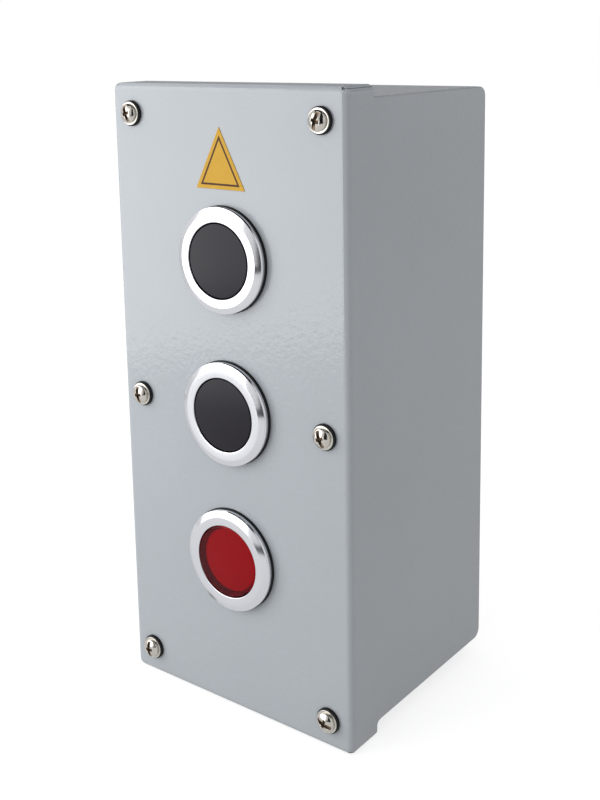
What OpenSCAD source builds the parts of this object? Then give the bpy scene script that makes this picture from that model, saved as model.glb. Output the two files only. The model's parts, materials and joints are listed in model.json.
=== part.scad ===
// Pushbutton control station: a folded steel box with three flush pushbuttons on its front.
// The wall lies in the plane y = 0, the front looks towards -Y, and x = 0 and z = 0 are the box's middle.

/* [Cover] */
// Width over the side walls
cover_w = 80; // [78:0.5:110]
// Height of the front, over its top and bottom flanges
cover_h = 177; // [168:1:240]
// Depth from the wall to the front face
box_d = 69.5; // [66:0.5:110]
// Thickness of the cover's sheet
sheet_t = 1.2; // [0.8:0.1:1.6]
// Outer radius of the cover's bends
bend_r = 1.8; // [1.7:0.1:3]
// Depth of the top and bottom flanges
flange_d = 12; // [8:0.2:20]
// Drop from the top flange to the base behind it
top_step = 3.2; // [2.4:0.1:4]
// Rise from the bottom flange to the base behind it
bottom_step = 4.3; // [3:0.1:5.5]
// Radius of the four edges that run from the front to the flanges' ends
corner_r = 2; // [1.5:0.1:3]
// Radius of the side walls' rear corners
side_corner_r = 2.8; // [1:0.1:6]
// Radius inside the lower notch of the side walls
notch_r = 1.2; // [0.4:0.1:2.5]
// Distance of the open seams from the cover's top and bottom
seam_drop = 0.6; // [0.4:0.1:1.2]
// Width of the open seam between a flange and the side wall
seam_w = 0.15; // [0.1:0.05:0.6]
// Bore of the relief at the front end of each seam
relief_d = 0.7; // [0.7:0.1:1.4]

/* [Base] */
// Thickness of the base's sheet
base_t = 1.2; // [0.8:0.1:1.5]
// Outer radius of the base's bends
base_bend_r = 2; // [1.8:0.1:3]
// Width of the lip round the base's open front
lip_w = 11.5; // [11:0.1:13]
// Width of the mitre cuts in the lip's corners
mitre_w = 0.4; // [0.2:0.1:1]
// Gap between the base and the cover's side walls
base_gap = 0.4; // [0.2:0.1:0.8]
// Gap between the cover's rear edges and the wall
wall_gap = 0.2; // [0.1:0.1:1]

/* [Cover seal] */
// Thickness of the foam strip, pressed between lip and cover
seal_t = 1.5; // [1:0.1:2.5]
// Width of the foam strip
seal_w = 10; // [9.5:0.1:10.4]
// Distance of the foam strip from the base's edge
seal_inset = 0.5; // [0.3:0.1:0.8]

/* [Cover screws] */
// Distance of the screw lines from the base's side walls
screw_in_x = 6; // [5.6:0.1:6.6]
// Distance of the lowest screws from the base's bottom wall
screw_in_z = 4; // [4:0.1:5.5]
// Distance of the middle screws under the cover's middle
middle_screw_drop = 0.5; // [0:0.1:1]
// Thread diameter of the screws
screw_d = 3; // [2.6:0.1:3]
// Length of a screw under its head
screw_l = 12; // [10:0.5:16]
// Diameter of the domed head
head_d = 5.4; // [5:0.1:5.8]
// Height of the head
head_h = 1.6; // [1.5:0.1:2.4]
// Height of the head's straight side
head_side = 0.6; // [0.3:0.1:1]
// Diameter of the steel washer
washer_d = 6.5; // [6:0.1:6.8]
// Thickness of the steel washer
washer_t = 0.4; // [0.3:0.1:1]
// Diameter of the rubber washer
rubber_d = 7.1; // [7:0.1:8]
// Thickness of the rubber washer
rubber_t = 0.9; // [0.6:0.1:1.6]
// Bore of the rivet nuts' barrels in the lip
nut_hole_d = 4.2; // [4:0.1:4.3]
// Length of a rivet nut behind its flange
nut_l = 7.5; // [6:0.5:10]

/* [Buttons] */
// Spacing of the three buttons
button_pitch = 42.5; // [37:0.25:48]
// Height of the middle button over the cover's middle
middle_rise = -0.25; // [-1:0.25:1]
// How far a button travels
travel = 4; // [2:0.1:5]
// Hole in the cover for a button
panel_hole_d = 25; // [24.9:0.1:25.4]
// Outer diameter of the bezel
bezel_d = 28.8; // [28:0.1:33]
// Outer diameter of the bezel's flat face
bezel_flat_d = 25.4; // [24:0.1:27]
// Height of the bezel over its gasket
bezel_h = 2.2; // [1.8:0.1:3]
// Height of the bezel's straight outer wall
bezel_wall = 1.5; // [0.8:0.1:1.6]
// Opening of the bezel, in which the button travels
bezel_bore_d = 20.7; // [20:0.1:21.4]
// Outer diameter of the bezel's threaded barrel
barrel_d = 24.6; // [24:0.1:24.7]
// Diameter of the rubber gasket under the bezel
bezel_gasket_d = 29.2; // [28:0.1:33]
// Thickness of that gasket
bezel_gasket_t = 0.8; // [0.3:0.1:1.2]
// Width of the lock ring across its flats
lock_ring_af = 28; // [27:0.5:31]
// Thickness of the lock ring
lock_ring_t = 3.5; // [2.5:0.1:5]

/* [Caps] */
// Thickness of the cap over the plunger
cap_t = 3; // [2.6:0.1:3.4]
// Length of the cap with its skirt
cap_l = 4.8; // [4.6:0.1:6]
// Wall of the skirt
skirt_t = 0.9; // [0.7:0.1:1.2]
// How far the cap sits below the bezel's face
cap_sink = 0.15; // [0:0.05:0.6]
// Thickness of the clear part of the lens, over the diffuser
lens_t = 2; // [1.4:0.1:2.2]

/* [Plunger] */
// Diameter of the plunger's stem
stem_d = 12; // [11:0.1:13]
// Thickness of the flange that carries the cap
plunger_flange_t = 1.5; // [1.2:0.1:1.8]
// Bore in the front of the plunger, for a lamp
lamp_bore_d = 9.6; // [9:0.1:10]
// Depth of that bore under the flange's face
lamp_bore_l = 9; // [8:0.1:11]
// Thickness of the shoulder that guides the stem
shoulder_t = 2; // [1.5:0.1:3]
// Thickness of the retaining clip
clip_t = 0.8; // [0.6:0.1:1.2]
// Outer diameter of the retaining clip
clip_d = 16; // [14.5:0.1:17]
// Wire of the return spring
spring_wire = 0.8; // [0.5:0.05:1]
// Turns of the return spring
spring_turns = 5; // [4:1:7]
// Mean diameter of the return spring
spring_d = 15.2; // [14.4:0.1:15.8]

/* [Contact block] */
// Width of the contact housing
block_w = 30; // [28:0.5:34]
// Height of the contact housing
block_h = 28; // [27:0.5:31]
// Wall of the contact housing
block_wall = 1.5; // [1.2:0.1:2]
// How far the terminal ledges stand out at each side
ledge_w = 7; // [6.4:0.1:8]
// Thickness of the terminal ledges
ledge_t = 7; // [6:0.5:9]
// Thickness of the mounting collar's web
web_t = 2.5; // [2:0.1:4]
// Width of the terminal strips
strip_w = 5; // [4.4:0.1:5.6]
// Thickness of the terminal strips
strip_t = 1; // [0.8:0.1:1.4]
// Thickness of the contact bridges
bridge_t = 0.8; // [0.6:0.1:1]
// Diameter of the silver contact rivets
rivet_d = 2.8; // [2.2:0.1:3.2]
// Height of the silver contact rivets
rivet_h = 0.5; // [0.3:0.1:0.8]

/* [Marker] */
// Width of the triangular marker
marker_w = 16.8; // [10:0.1:24]
// Height of the triangular marker
marker_h = 16.4; // [10:0.1:18]
// Distance of the marker above the upper bezel
marker_gap = 3.5; // [1:0.1:5]
// Thickness of the marker
marker_t = 0.2; // [0.1:0.05:0.5]

/* [Wall and cable] */
// Bore of the four wall holes
wall_hole_d = 4.8; // [4:0.1:6]
// Spacing of the wall holes across
wall_hole_x = 50; // [40:1:60]
// Spacing of the wall holes up and down
wall_hole_z = 140; // [120:1:146]
// Hole in the bottom wall for the cable grommet
cable_hole_d = 19; // [16:0.5:22]
// Bore of the cable grommet
cable_bore_d = 10; // [6:0.5:12]
// Diameter of the earth stud
earth_d = 4; // [3:0.5:4]
// Length of the earth stud
earth_l = 12; // [10:0.5:14]

/* [Hidden] */
BUTTONS = ["upper", "middle", "lower"];
BUTTON_NODES = ["bezel", "bezel_gasket", "lock_ring", "plunger", "retaining_clip", "return_spring",
    "mounting_collar", "contact_housing", "contact_carriage", "contact_springs", "contact_bridges",
    "terminals", "terminal_screws"];

// Segments of a full circle
round_fn = 96;
small_fn = 48;
// Overrun of every cut
over = 0.5;
// Clearance of rigid pieces that move past each other
slide_gap = 0.3;
// Clearance of pieces that are fitted into each other
fit_gap = 0.05;

front_y = -box_d;
bezel_top = -bezel_gasket_t - bezel_h;

// Base: its outer width, its bottom and top, and its depth to the lip's face
base_w = cover_w - 2 * (sheet_t + base_gap);
base_low = -cover_h / 2 + bottom_step;
base_high = cover_h / 2 - top_step;
base_h = base_high - base_low;
base_mid = (base_high + base_low) / 2;
base_d = box_d - sheet_t - seal_t;
lip_s = sheet_t + seal_t;

// Depth at which the seams begin, in the bend
seam_start = 0.7;

// Cover screws: their lines across and up
screw_x = base_w / 2 - screw_in_x;
screw_z = cover_h / 2 - bottom_step - screw_in_z;
screw_places = [for (z = [-screw_z, -middle_screw_drop, screw_z]) for (j = [-1, 1]) [j * screw_x, z]];
screw_hole_share = 1.2;
screw_hole_d = screw_hole_share * screw_d;
// How each screw's slot happens to stand, clockwise from upright
screw_turns = [-5, -73, -10, -22, -18, 18];
slot_w = 1;
slot_l = 4.8;
slot_depth = 0.7;
cross_w = 1;
cross_l = 3.2;
cross_depth = 1.1;
nut_rim = 0.45;
nut_flange_d = nut_hole_d + 2 * nut_rim;
nut_flange_t = 0.5;
nut_bulge_l = 2;
nut_bulge_lead = 0.3;

// Depths along a button's axis, from the front face inwards
cap_front = bezel_top + cap_sink;
plunger_front = cap_front + cap_t;
plunger_flange_back = plunger_front + plunger_flange_t;
spring_free = 0.4;
shoulder_front = plunger_flange_back + travel + (spring_turns + 1) * spring_wire + spring_free;
shoulder_back = shoulder_front + shoulder_t;
spring_front = plunger_flange_back + slide_gap;
spring_back = shoulder_front - fit_gap;
clip_front = shoulder_back + slide_gap;
clip_back = clip_front + clip_t;
web_front = clip_back + travel + slide_gap;
block_front = web_front + web_t;
back_bore_l = 2;
barrel_back = shoulder_back + back_bore_l;
collar_grip = 4.5;
stem_overhang = 2;
carriage_front = block_front + stem_overhang;
carriage_head_t = 1.8;
contact_spring_l = 3.4;
// Gap that is left at a made contact, and at a closed one at rest
contact_left = 0.3;
no_window = carriage_front + carriage_head_t;
no_bridge = no_window + contact_spring_l;
strip_front = no_bridge + bridge_t + 2 * rivet_h + travel + contact_left;
strip_back = strip_front + strip_t;
nc_bridge = strip_back + 2 * rivet_h + contact_left;
nc_window_back = nc_bridge + bridge_t + contact_spring_l;
carriage_rim = 1.8;
plate_back = nc_window_back + carriage_rim;
block_floor = plate_back + travel + slide_gap;
block_back = block_floor + block_wall;

// Round parts of a button
barrel_r = barrel_d / 2;
bore_r = bezel_bore_d / 2;
cap_r = bore_r - slide_gap;
skirt_inner_r = cap_r - skirt_t;
plunger_flange_r = skirt_inner_r - fit_gap;
stem_r = stem_d / 2;
guide_r = stem_r + slide_gap;
clip_groove_depth = 0.8;
clip_groove_r = stem_r - clip_groove_depth;
// Mouth of the clip as a share of the groove's radius
clip_mouth_share = 1.6;
edge_round = 0.3;
// Groove in the bezel's outer wall, behind the chamfer
groove_start = 0.05;
groove_w = 0.6;
groove_depth = 0.3;
thread_relief = 0.6;
lamp_board_t = 1;
lamp_d = 5;
lamp_l = 6;

// Contact block, across its axis
block_round = 1;
ledge_end = block_w / 2 + ledge_w;
terminal_x = block_w / 2 + ledge_w / 2;
terminal_screw_d = 3;
terminal_head_d = 5;
terminal_head_h = 1.8;
terminal_head_side = 0.8;
clamp_w = 5;
clamp_t = 0.8;
terminal_screw_l = ledge_t;
strip_inner_x = 4.5;
rivet_inset = 2;
rivet_x = strip_inner_x + rivet_inset;
bridge_end_x = rivet_x + rivet_inset;
plate_t = 4.4;
plate_rim = 2;
// Distance between the plate's edge and the housing's wall
guide_room = 2;
plate_h = block_h - 2 * (block_wall + guide_room);
// Distance of each contact pair from the middle
pole_offset = plate_h / 2 - plate_rim - strip_w / 2;
bridge_w = strip_w - 2 * slide_gap;
head_w = 9;
tail_h = 6;
guide_rib = 1.5;
guide_depth = 1.6;
shelf_t = 2;
barrier_t = 1.5;
barrier_h = 3.5;
hook_w = 8;
hook_t = 1.4;
hook_reach = 1;
hook_l = 5.5;
hook_nose = 1.5;
contact_wire = 0.4;
contact_spring_d = 3;
contact_turns = 3;

// Wall side
grommet_flange = 2.6;
grommet_groove = 1.4;
grommet_lip_t = 2.2;
grommet_round = 0.6;
cable_y = -box_d / 2;
earth_x = 26;
earth_z_share = -0.25;
earth_z = earth_z_share * cover_h;
earth_washer_share = 2.25;
earth_washer_t_share = 0.2;
earth_nut_share = 1.75;
earth_nut_t_share = 0.8;
earth_washer_t = earth_washer_t_share * earth_d;

paint = "#b9bec3";
steel = "#c9c6bf";
rubber = "#1c1c1e";
aluminium = "#e6e7e8";
black_plastic = "#3a3a3f";
grey_plastic = "#5c6066";
red_plastic = "#a3141f";
white_plastic = "#ececea";
brass = "#c8a24a";
yellow = "#dcae3c";
zinc = "#a9abad";

// The piece outside a quarter circle in a corner at the origin, whose sides run along +x and +y
module corner_cut(r) {
    difference() {
        translate([-over, -over]) square(r + over);
        translate([r, r]) circle(r, $fn = small_fn);
    }
}

// The same corner filled, for the inside of a notch
module corner_fill(r) {
    difference() {
        square(r);
        translate([r, r]) circle(r, $fn = small_fn);
    }
}

// Rectangle about the origin with round corners
module rounded_rect(w, h, r) {
    difference() {
        square([w, h], center = true);
        translate([-w / 2, -h / 2]) corner_cut(r);
        translate([w / 2, -h / 2]) rotate(90) corner_cut(r);
        translate([w / 2, h / 2]) rotate(180) corner_cut(r);
        translate([-w / 2, h / 2]) rotate(270) corner_cut(r);
    }
}

// Extrudes a shape drawn in depth and height across the width w, about x = 0
module across(w) {
    translate([-w / 2, 0, 0]) rotate([90, 0, 90]) linear_extrude(w) children();
}

// Extrudes a shape drawn in width and depth over the height from low to high
module upwards(low, high) {
    translate([0, 0, low]) linear_extrude(high - low) children();
}

// Puts a piece at a place on the front face, with its own z axis running into the box
module at_front(x, z) {
    translate([x, front_y, z]) rotate([-90, 0, 0]) children();
}

module turned(profile) {
    rotate_extrude($fn = round_fn) polygon(profile);
}

// Ring from depth a to depth b
module ring(outer_d, inner_d, a, b) {
    translate([0, 0, a]) difference() {
        cylinder(h = b - a, d = outer_d, $fn = round_fn);
        translate([0, 0, -over]) cylinder(h = b - a + 2 * over, d = inner_d, $fn = round_fn);
    }
}

// Box about the axis in x and y, from depth a to depth b
module slab(w, h, a, b) {
    translate([-w / 2, -h / 2, a]) cube([w, h, b - a]);
}

// Unbroken wound wire of round section between depths a and b, as one tube of rings along a helix
module coil(mean_d, wire, turns, a, b) {
    rings_per_turn = 8;
    sides = 6;
    last = turns * rings_per_turn;
    rise = b - a - wire;
    function turn_at(i) = 360 * i / rings_per_turn;
    function ring_point(i, k) = let (r = mean_d / 2 + wire / 2 * cos(360 * k / sides))
        [r * cos(turn_at(i)), r * sin(turn_at(i)),
            a + wire / 2 + rise * i / last + wire / 2 * sin(360 * k / sides)];
    points = [for (i = [0 : last]) for (k = [0 : sides - 1]) ring_point(i, k)];
    function id(i, k) = i * sides + k % sides;
    walls = [for (i = [0 : last - 1]) for (k = [0 : sides - 1])
        for (t = [[id(i, k), id(i + 1, k), id(i + 1, k + 1)], [id(i, k), id(i + 1, k + 1), id(i, k + 1)]]) t];
    ends = [for (k = [1 : sides - 2])
        for (t = [[id(0, 0), id(0, k), id(0, k + 1)], [id(last, 0), id(last, k + 1), id(last, k)]]) t];
    polyhedron(points, concat(walls, ends));
}

// Least gap between neighbouring turns of a coil
function turn_gap(wire, turns, a, b) = (b - a - wire) / turns - wire;

// Pan head screw with a slotted cross recess: its head stands out towards -z, its shank runs to +z
module pan_screw(d, l, head_d, head_h, side, turn) {
    dome = head_h - side;
    dome_r = (head_d * head_d / 4 + dome * dome) / (2 * dome);
    difference() {
        union() {
            intersection() {
                translate([0, 0, -head_h]) cylinder(h = head_h, d = head_d, $fn = small_fn);
                translate([0, 0, dome_r - head_h]) sphere(dome_r, $fn = round_fn);
            }
            cylinder(h = l, d = d, $fn = small_fn);
        }
        rotate(turn) {
            slab(slot_w, slot_l, -head_h - over, slot_depth - head_h);
            slab(cross_w, cross_l, -head_h - over, cross_depth - head_h);
            slab(cross_l, cross_w, -head_h - over, cross_depth - head_h);
        }
    }
}

// Plan of the cover, moved in from the outside by inset, with the two front bends
module cover_plan(inset) {
    half = cover_w / 2 - inset;
    difference() {
        translate([-half, front_y + inset]) square([2 * half, box_d - wall_gap]);
        translate([-half, front_y + inset]) corner_cut(bend_r - inset);
        translate([half, front_y + inset]) rotate(90) corner_cut(bend_r - inset);
    }
}

// Side of the cover in depth and height: deep flange ends, notches behind them and round rear corners
module cover_side() {
    rear = -wall_gap;
    notch = front_y + flange_d;
    difference() {
        union() {
            translate([front_y, -cover_h / 2]) square([flange_d, cover_h]);
            translate([front_y, base_low]) square([rear - front_y, base_h]);
            translate([notch, base_low]) mirror([0, 1]) corner_fill(notch_r);
        }
        translate([front_y, -cover_h / 2]) corner_cut(bend_r);
        translate([front_y, cover_h / 2]) rotate(270) corner_cut(bend_r);
        translate([rear, base_low]) rotate(90) corner_cut(side_corner_r);
        translate([rear, base_high]) rotate(180) corner_cut(side_corner_r);
    }
}

// Side of the hollow inside the cover
module cover_hollow_side() {
    inner = cover_h / 2 - sheet_t;
    start = front_y + sheet_t;
    difference() {
        translate([start, -inner]) square([box_d, 2 * inner]);
        translate([start, -inner]) corner_cut(bend_r - sheet_t);
        translate([start, inner]) rotate(270) corner_cut(bend_r - sheet_t);
    }
}

// Front view of the cover, moved in by inset and drawn out over its whole depth
module cover_outline(inset) {
    at_front(0, 0) translate([0, 0, -over]) linear_extrude(box_d + 2 * over)
        rounded_rect(cover_w - 2 * inset, cover_h - 2 * inset, corner_r - inset);
}

module front_cover() {
    color(paint) difference() {
        intersection() {
            upwards(-cover_h / 2, cover_h / 2) cover_plan(0);
            across(cover_w) cover_side();
            cover_outline(0);
        }
        intersection() {
            upwards(-cover_h / 2, cover_h / 2) cover_plan(sheet_t);
            across(cover_w) cover_hollow_side();
            cover_outline(sheet_t);
        }
        for (z = button_heights) at_front(0, z)
            translate([0, 0, -over]) cylinder(h = sheet_t + 2 * over, d = panel_hole_d, $fn = round_fn);
        for (p = screw_places) at_front(p[0], p[1])
            translate([0, 0, -over]) cylinder(h = sheet_t + 2 * over, d = screw_hole_d, $fn = small_fn);
        for (up = [0, 1]) mirror([0, 0, up]) for (right = [0, 1]) mirror([right, 0, 0]) flange_seam();
    }
}

// Open seam between the top flange and the edge of the right side wall, with the relief at its front end
module flange_seam() {
    inside = cover_w / 2 - sheet_t - over;
    start = front_y + seam_start;
    high = cover_h / 2 - seam_drop;
    translate([inside, start, high - seam_w]) cube([sheet_t + 2 * over, flange_d, seam_w]);
    translate([inside, start, high - seam_w / 2]) rotate([0, 90, 0])
        cylinder(h = sheet_t + 2 * over, d = relief_d, $fn = small_fn);
}

module base_box() {
    inner_r = base_bend_r - base_t;
    color(paint) difference() {
        intersection() {
            upwards(base_low, base_high)
                translate([0, -base_d / 2]) rounded_rect(base_w, base_d, base_bend_r);
            across(base_w) translate([-base_d / 2, base_mid]) rounded_rect(base_d, base_h, base_bend_r);
        }
        intersection() {
            upwards(base_low + base_t, base_high - base_t)
                translate([0, -base_d / 2]) rounded_rect(base_w - 2 * base_t, base_d - 2 * base_t, inner_r);
            across(base_w - 2 * base_t)
                translate([-base_d / 2, base_mid])
                    rounded_rect(base_d - 2 * base_t, base_h - 2 * base_t, inner_r);
        }
        at_front(0, base_mid) {
            slab(base_w - 2 * lip_w, base_h - 2 * lip_w, lip_s - over, lip_s + base_t + over);
            for (i = [0 : 3]) lip_mitre(i);
        }
        for (p = screw_places) at_front(p[0], p[1])
            translate([0, 0, lip_s - over]) cylinder(h = base_t + 2 * over, d = nut_hole_d, $fn = small_fn);
        for (i = [-1, 1]) for (j = [-1, 1])
            translate([i * wall_hole_x / 2, over, j * wall_hole_z / 2]) rotate([90, 0, 0])
                cylinder(h = base_t + 2 * over, d = wall_hole_d, $fn = small_fn);
        translate([0, cable_y, base_low - over])
            cylinder(h = base_t + 2 * over, d = cable_hole_d, $fn = round_fn);
        translate([earth_x, over, earth_z]) rotate([90, 0, 0])
            cylinder(h = base_t + 2 * over, d = earth_d, $fn = small_fn);
    }
}

// Diagonal cut in one corner of the lip, from its opening to just before its bends
module lip_mitre(i) {
    side_x = i == 0 || i == 3 ? 1 : -1;
    side_y = i < 2 ? 1 : -1;
    run = lip_w - base_bend_r - mitre_w;
    translate([side_x * (base_w / 2 - lip_w), side_y * (base_h / 2 - lip_w), lip_s - over])
        rotate(atan2(side_y, side_x))
            translate([-over, -mitre_w / 2, 0]) cube([run * sqrt(2) + over, mitre_w, base_t + 2 * over]);
}

module cover_gasket() {
    outer_w = base_w - 2 * seal_inset;
    outer_h = base_h - 2 * seal_inset;
    color(rubber) difference() {
        at_front(0, base_mid) translate([0, 0, sheet_t]) linear_extrude(seal_t) difference() {
            rounded_rect(outer_w, outer_h, base_bend_r);
            rounded_rect(outer_w - 2 * seal_w, outer_h - 2 * seal_w, base_bend_r);
        }
        for (p = screw_places) at_front(p[0], p[1]) translate([0, 0, sheet_t - over])
            cylinder(h = seal_t + 2 * over, d = nut_flange_d + 2 * slide_gap, $fn = small_fn);
    }
}

module cover_screws() {
    color(steel) for (i = [0 : 5]) at_front(screw_places[i][0], screw_places[i][1])
        translate([0, 0, -rubber_t - washer_t])
            pan_screw(screw_d, screw_l, head_d, head_h, head_side, screw_turns[i]);
}

module steel_washers() {
    color(steel) for (p = screw_places) at_front(p[0], p[1])
        ring(washer_d, screw_d + 2 * fit_gap, -rubber_t - washer_t, -rubber_t);
}

module rubber_washers() {
    color(rubber) for (p = screw_places) at_front(p[0], p[1])
        ring(rubber_d, screw_d + 2 * fit_gap, -rubber_t, 0);
}

// Rivet nut: a flange on the lip's face, a barrel through it and the bulge that was pulled up behind it
module rivet_nuts() {
    bore = screw_d / 2 + fit_gap;
    barrel = nut_hole_d / 2 - fit_gap;
    face = lip_s - nut_flange_t;
    bulge_start = lip_s + base_t;
    bulge_end = bulge_start + nut_bulge_l;
    profile = [[bore, face], [nut_flange_d / 2, face], [nut_flange_d / 2, lip_s], [barrel, lip_s],
        [barrel, bulge_start], [nut_flange_d / 2, bulge_start + nut_bulge_lead],
        [nut_flange_d / 2, bulge_start + nut_bulge_l / 2], [barrel, bulge_end], [barrel, lip_s + nut_l],
        [bore, lip_s + nut_l]];
    color(zinc) for (p = screw_places) at_front(p[0], p[1]) turned(profile);
}

// Plain triangular plate above the upper button
module yellow_marker() {
    foot = button_heights[0] + bezel_d / 2 + marker_gap;
    outline = [[-marker_w / 2, 0], [marker_w / 2, 0], [0, -marker_h]];
    color(yellow) at_front(0, foot) translate([0, 0, -marker_t]) linear_extrude(marker_t) polygon(outline);
}

// Rubber grommet with a groove for the bottom wall
module cable_grommet() {
    hole_r = cable_hole_d / 2 - fit_gap;
    flange_r = cable_hole_d / 2 + grommet_flange;
    groove_low = -(grommet_groove - base_t) / 2;
    groove_high = groove_low + grommet_groove;
    bore = cable_bore_d / 2;
    low = groove_low - grommet_lip_t;
    high = groove_high + grommet_lip_t;
    profile = [[bore, low], [flange_r - grommet_round, low], [flange_r, low + grommet_round],
        [flange_r, groove_low], [hole_r, groove_low], [hole_r, groove_high],
        [flange_r - grommet_round, groove_high],
        [flange_r - grommet_round, high - grommet_round], [flange_r - 2 * grommet_round, high], [bore, high]];
    color(rubber) translate([0, cable_y, base_low]) turned(profile);
}

// Places a piece on the earth stud, its own z axis running from the back wall into the box
module at_earth() {
    translate([earth_x, -base_t, earth_z]) rotate([90, 0, 0]) children();
}

module earth_stud() {
    color(brass) at_earth() translate([0, 0, -base_t])
        cylinder(h = earth_l + base_t, d = earth_d - 2 * fit_gap, $fn = small_fn);
}

module earth_washer() {
    color(steel) at_earth() ring(earth_washer_share * earth_d, earth_d, 0, earth_washer_t);
}

module earth_nut() {
    color(brass) at_earth() difference() {
        translate([0, 0, earth_washer_t])
            cylinder(h = earth_nut_t_share * earth_d, d = earth_nut_share * earth_d / cos(30), $fn = 6);
        cylinder(h = earth_l, d = earth_d, $fn = small_fn);
    }
}

// Bezel: a flat ring with a chamfered rim, and a barrel through the cover with the stem's shoulder
module bezel() {
    chamfer_low = -bezel_gasket_t - bezel_wall;
    groove = chamfer_low + groove_start;
    profile = [[bore_r + edge_round, bezel_top], [bezel_flat_d / 2, bezel_top], [bezel_d / 2, chamfer_low],
        [bezel_d / 2, groove], [bezel_d / 2 - groove_depth, groove + groove_w / 2],
        [bezel_d / 2, groove + groove_w], [bezel_d / 2, -bezel_gasket_t],
        [barrel_r, -bezel_gasket_t], [barrel_r, barrel_back - thread_relief],
        [barrel_r - thread_relief, barrel_back], [bore_r, barrel_back], [bore_r, shoulder_back],
        [guide_r, shoulder_back], [guide_r, shoulder_front], [bore_r, shoulder_front],
        [bore_r, bezel_top + edge_round]];
    color(aluminium) turned(profile);
}

module bezel_gasket() {
    color(rubber) ring(bezel_gasket_d, barrel_d + 2 * fit_gap, -bezel_gasket_t, 0);
}

// Hexagonal ring nut that pulls the bezel against the cover
module lock_ring() {
    color(zinc) difference() {
        translate([0, 0, sheet_t]) cylinder(h = lock_ring_t, d = lock_ring_af / cos(30), $fn = 6);
        cylinder(h = 2 * (sheet_t + lock_ring_t), d = barrel_d + 2 * fit_gap, $fn = round_fn);
    }
}

// Cup that the finger presses, t thick at its front
module cup(t) {
    profile = [[0, cap_front], [cap_r - edge_round, cap_front], [cap_r, cap_front + edge_round],
        [cap_r, cap_front + cap_l], [skirt_inner_r, cap_front + cap_l], [skirt_inner_r, cap_front + t],
        [0, cap_front + t]];
    turned(profile);
}

module cap() {
    color(black_plastic) cup(cap_t);
}

module lens() {
    color(red_plastic) cup(lens_t);
}

module diffuser() {
    color(white_plastic) translate([0, 0, cap_front + lens_t])
        cylinder(h = cap_t - lens_t, r = plunger_flange_r, $fn = round_fn);
}

// Stem with a flange under the cap, a bore for the lamp and a groove for the retaining clip
module plunger() {
    bore_back = plunger_front + lamp_bore_l;
    profile = [[lamp_bore_d / 2, plunger_front], [plunger_flange_r, plunger_front],
        [plunger_flange_r, plunger_flange_back], [stem_r, plunger_flange_back], [stem_r, clip_front],
        [clip_groove_r, clip_front], [clip_groove_r, clip_back], [stem_r, clip_back],
        [stem_r, carriage_front], [0, carriage_front], [0, bore_back], [lamp_bore_d / 2, bore_back]];
    color(white_plastic) turned(profile);
}

// Open ring in the stem's groove, which holds the plunger against the spring
module retaining_clip() {
    mouth = clip_mouth_share * clip_groove_r;
    color(zinc) difference() {
        ring(clip_d, 2 * (clip_groove_r + fit_gap), clip_front, clip_back);
        translate([0, -mouth / 2, clip_front - over]) cube([clip_d, mouth, clip_t + 2 * over]);
    }
}

module return_spring() {
    color(zinc) coil(spring_d, spring_wire, spring_turns, spring_front, spring_back);
}

module lamp_board() {
    back = plunger_front + lamp_bore_l;
    color("#2d6b3f") translate([0, 0, back - lamp_board_t])
        cylinder(h = lamp_board_t, d = lamp_bore_d - 2 * fit_gap, $fn = small_fn);
}

// Light emitting diode with its domed end towards the diffuser
module lamp() {
    foot = plunger_front + lamp_bore_l - lamp_board_t;
    color("#e9d6d2") intersection() {
        translate([0, 0, foot - lamp_l]) cylinder(h = lamp_l, d = lamp_d, $fn = small_fn);
        union() {
            translate([0, 0, foot - lamp_l + lamp_d / 2]) sphere(d = lamp_d, $fn = small_fn);
            translate([0, 0, foot - lamp_l + lamp_d / 2])
                cylinder(h = lamp_l, d = lamp_d + over, $fn = small_fn);
        }
    }
}

// Collar that grips the barrel, with a web before the contact housing and two latch arms round it
module mounting_collar() {
    grip_front = barrel_back - collar_grip;
    grip_d = barrel_d + 2 * fit_gap;
    color(black_plastic) difference() {
        union() {
            translate([0, 0, grip_front]) linear_extrude(web_front - grip_front)
                rounded_rect(block_w, block_h, block_round);
            translate([0, 0, web_front]) linear_extrude(web_t) rounded_rect(block_w, block_h, block_round);
            for (side = [0, 1]) mirror([0, side, 0]) latch_arm();
        }
        translate([0, 0, grip_front - over])
            cylinder(h = barrel_back - grip_front + over, d = grip_d, $fn = round_fn);
        translate([0, 0, barrel_back - over])
            cylinder(h = web_front - barrel_back + over, d = clip_d + 4 * slide_gap, $fn = round_fn);
        translate([0, 0, web_front - over]) cylinder(h = web_t + 2 * over, r = guide_r, $fn = round_fn);
    }
}

module latch_arm() {
    inner = block_h / 2 + fit_gap;
    nose = block_front + hook_l;
    translate([-hook_w / 2, block_h / 2 - over, web_front])
        cube([hook_w, over + fit_gap + hook_t, web_t]);
    translate([-hook_w / 2, inner, web_front]) cube([hook_w, hook_t, nose - web_front]);
    translate([-hook_w / 2, inner - hook_reach, nose - hook_nose])
        cube([hook_w, hook_reach + over, hook_nose]);
}

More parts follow.
